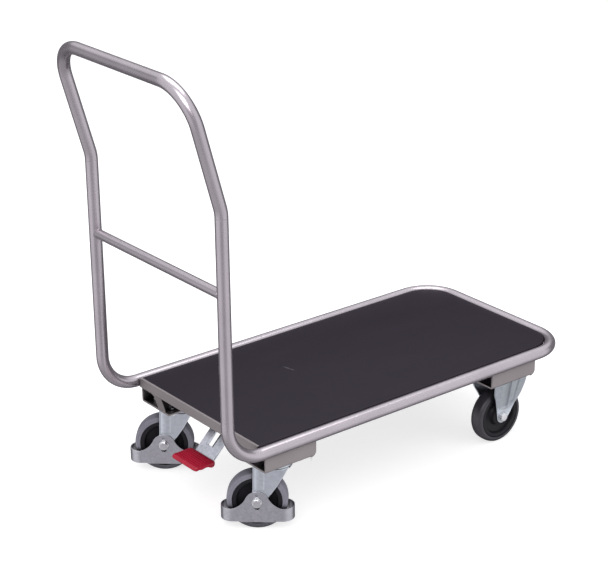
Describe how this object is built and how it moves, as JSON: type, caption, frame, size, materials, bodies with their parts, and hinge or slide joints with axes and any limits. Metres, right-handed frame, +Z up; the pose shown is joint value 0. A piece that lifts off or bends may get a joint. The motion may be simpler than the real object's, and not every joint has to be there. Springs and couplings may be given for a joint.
{
  "type": "platform push cart",
  "caption": "Push-bar platform cart: one bent tube frames a flush deck on two fixed front castors and two braked swivel castors, with a central foot brake behind.",
  "frame": {"origin": "middle of the cart's footprint box, on the floor, with both swivel castors turned as at rest", "axes": "+X forward, away from the push handle; +Y to the left as the cart is pushed; +Z up"},
  "size_m": [1.005, 0.4786, 0.981],
  "materials": {
    "frame_coat": "satin silver powder coat",
    "bracket_coat": "satin silver powder coat on pressed sheet",
    "deck_board": "dark satin laminate board",
    "bright_bolt": "bright zinc-plated fastener",
    "zinc_sheet": "bright zinc-plated pressed sheet",
    "guard_zinc": "dull zinc-plated band",
    "galvanised": "galvanised steel",
    "machined_steel": "machined steel",
    "wheel_core": "black moulded wheel centre",
    "tyre_grey": "dark grey non-marking rubber",
    "pedal_red": "red moulded pedal pad",
    "black_rubber": "black rubber"
  },
  "bodies": {
    "chassis": {"frame_tube": "frame_coat", "handle_hoop": "frame_coat", "handle_crossbar": "frame_coat", "crossbar_welds": "frame_coat", "fascia_welds": "frame_coat", "deck_panel": "deck_board", "rear_fascia": "bracket_coat", "deck_cross_members": "bracket_coat", "deck_front_ledge": "bracket_coat", "deck_screws": "bright_bolt", "bracket_front_left": "bracket_coat", "bracket_front_right": "bracket_coat", "bracket_rear_left": "bracket_coat", "bracket_rear_right": "bracket_coat", "castor_bolts_front": "bright_bolt", "castor_bolts_rear": "bright_bolt", "front_left_fork": "zinc_sheet", "front_left_axle": "bright_bolt", "front_left_sleeve": "machined_steel", "front_right_fork": "zinc_sheet", "front_right_axle": "bright_bolt", "front_right_sleeve": "machined_steel", "rear_left_plate": "zinc_sheet", "rear_left_kingpin": "machined_steel", "rear_right_plate": "zinc_sheet", "rear_right_kingpin": "machined_steel", "brake_bearings": "bracket_coat"},
    "brake_pedal_assembly": {"brake_shaft": "galvanised", "brake_lever": "galvanised", "brake_pedal": "pedal_red", "brake_buffer": "black_rubber"},
    "front_left_wheel": {"front_left_rim": "wheel_core", "front_left_tyre": "tyre_grey"},
    "rear_left_swivel": {"rear_left_race": "machined_steel", "rear_left_fork": "zinc_sheet", "rear_left_guard": "guard_zinc", "rear_left_axle": "bright_bolt", "rear_left_sleeve": "machined_steel"},
    "rear_left_wheel": {"rear_left_rim": "wheel_core", "rear_left_tyre": "tyre_grey"},
    "rear_left_pin": {"rear_left_brake_pin": "machined_steel"},
    "rear_left_shoe": {"rear_left_brake_shoe": "black_rubber"},
    "front_right_wheel": {"front_right_rim": "wheel_core", "front_right_tyre": "tyre_grey"},
    "rear_right_swivel": {"rear_right_race": "machined_steel", "rear_right_fork": "zinc_sheet", "rear_right_guard": "guard_zinc", "rear_right_axle": "bright_bolt", "rear_right_sleeve": "machined_steel"},
    "rear_right_wheel": {"rear_right_rim": "wheel_core", "rear_right_tyre": "tyre_grey"},
    "rear_right_pin": {"rear_right_brake_pin": "machined_steel"},
    "rear_right_shoe": {"rear_right_brake_shoe": "black_rubber"}
  },
  "joints": [
    {"name": "front_left_wheel_spin", "type": "hinge", "parent": "chassis", "child": "front_left_wheel", "pos_m": [0.3375, 0.15874, 0.0625], "axis": [0, 1, 0], "continuous": true},
    {"name": "rear_left_castor_swivel", "type": "hinge", "parent": "chassis", "child": "rear_left_swivel", "pos_m": [-0.2705, 0.15874, 0.14], "axis": [0, 0, 1], "continuous": true},
    {"name": "rear_left_wheel_spin", "type": "hinge", "parent": "rear_left_swivel", "child": "rear_left_wheel", "pos_m": [-0.29791, 0.18207, 0.0625], "axis": [0.6481, 0.7615, 0], "continuous": true},
    {"name": "front_right_wheel_spin", "type": "hinge", "parent": "chassis", "child": "front_right_wheel", "pos_m": [0.3375, -0.17126, 0.0625], "axis": [0, 1, 0], "continuous": true},
    {"name": "rear_right_castor_swivel", "type": "hinge", "parent": "chassis", "child": "rear_right_swivel", "pos_m": [-0.2705, -0.17126, 0.14], "axis": [0, 0, 1], "continuous": true},
    {"name": "rear_right_wheel_spin", "type": "hinge", "parent": "rear_right_swivel", "child": "rear_right_wheel", "pos_m": [-0.29791, -0.14793, 0.0625], "axis": [0.6481, 0.7615, 0], "continuous": true},
    {"name": "brake_pedal_press", "type": "hinge", "parent": "chassis", "child": "brake_pedal_assembly", "pos_m": [-0.2465, -0.00626, 0.171], "axis": [0, -1, 0], "range_deg": [0, 12]},
    {"name": "rear_left_brake_pin_push", "type": "slide", "parent": "chassis", "child": "rear_left_pin", "axis": [0, 0, -1], "range_m": [0, 0.0051]},
    {"name": "rear_left_brake_shoe_push", "type": "slide", "parent": "rear_left_swivel", "child": "rear_left_shoe", "axis": [0, 0, -1], "range_m": [0, 0.0051]},
    {"name": "rear_right_brake_pin_push", "type": "slide", "parent": "chassis", "child": "rear_right_pin", "axis": [0, 0, -1], "range_m": [0, 0.0051]},
    {"name": "rear_right_brake_shoe_push", "type": "slide", "parent": "rear_right_swivel", "child": "rear_right_shoe", "axis": [0, 0, -1], "range_m": [0, 0.0051]}
  ],
  "couplings": [
    {"joint": "rear_left_brake_pin_push", "follows": "brake_pedal_press", "m_per_rad": 0.024},
    {"joint": "rear_left_brake_shoe_push", "follows": "brake_pedal_press", "m_per_rad": 0.024},
    {"joint": "rear_right_brake_pin_push", "follows": "brake_pedal_press", "m_per_rad": 0.024},
    {"joint": "rear_right_brake_shoe_push", "follows": "brake_pedal_press", "m_per_rad": 0.024}
  ]
}
